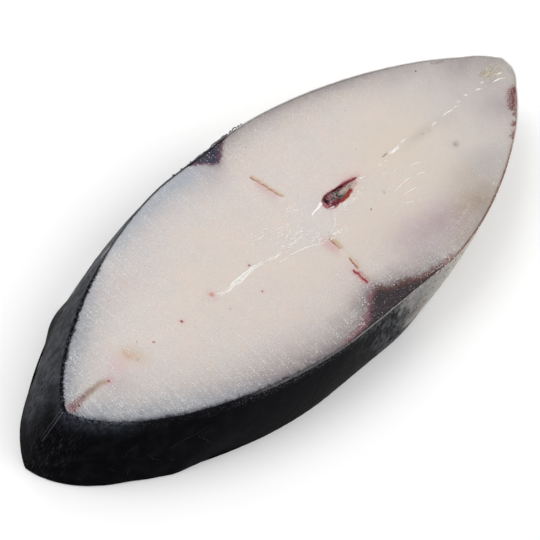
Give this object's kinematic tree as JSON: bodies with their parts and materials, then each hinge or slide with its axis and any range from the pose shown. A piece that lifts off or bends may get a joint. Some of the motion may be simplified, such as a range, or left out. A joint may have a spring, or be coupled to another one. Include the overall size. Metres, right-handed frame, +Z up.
{
  "type": "raw black cod steak",
  "caption": "Raw fish steak cut across the body behind the belly: pale flesh in dark skin, with backbone, blood canal and dark muscle wedges.",
  "frame": {"origin": "under the middle of the slice, at the level it rests on", "axes": "+X along the cut face from the back of the fish to its belly edge, +Y across to the left flank, +Z up through the thickness of the slice"},
  "size_m": [0.2079, 0.0763, 0.022],
  "materials": {
    "flesh": "moist raw fish flesh, pinkish beige, with saw marks and frosty specks",
    "skin": "wet near-black fish skin, grey and mottled towards the belly",
    "bone": "sawn fish vertebra, whitish and scratched",
    "clotted_tissue": "wet clotted blood and tissue, dark red",
    "dark_muscle": "slate-purple lateral muscle with a reddish inner rim",
    "fin_fibre": "tan fibrous root of the belly fin"
  },
  "bodies": {
    "root": {"flesh": "flesh", "skin": "skin", "backbone": "bone", "canal_tissue": "clotted_tissue", "dark_muscle_left": "dark_muscle", "dark_muscle_right": "dark_muscle", "fin_base": "fin_fibre"}
  },
  "joints": []
}
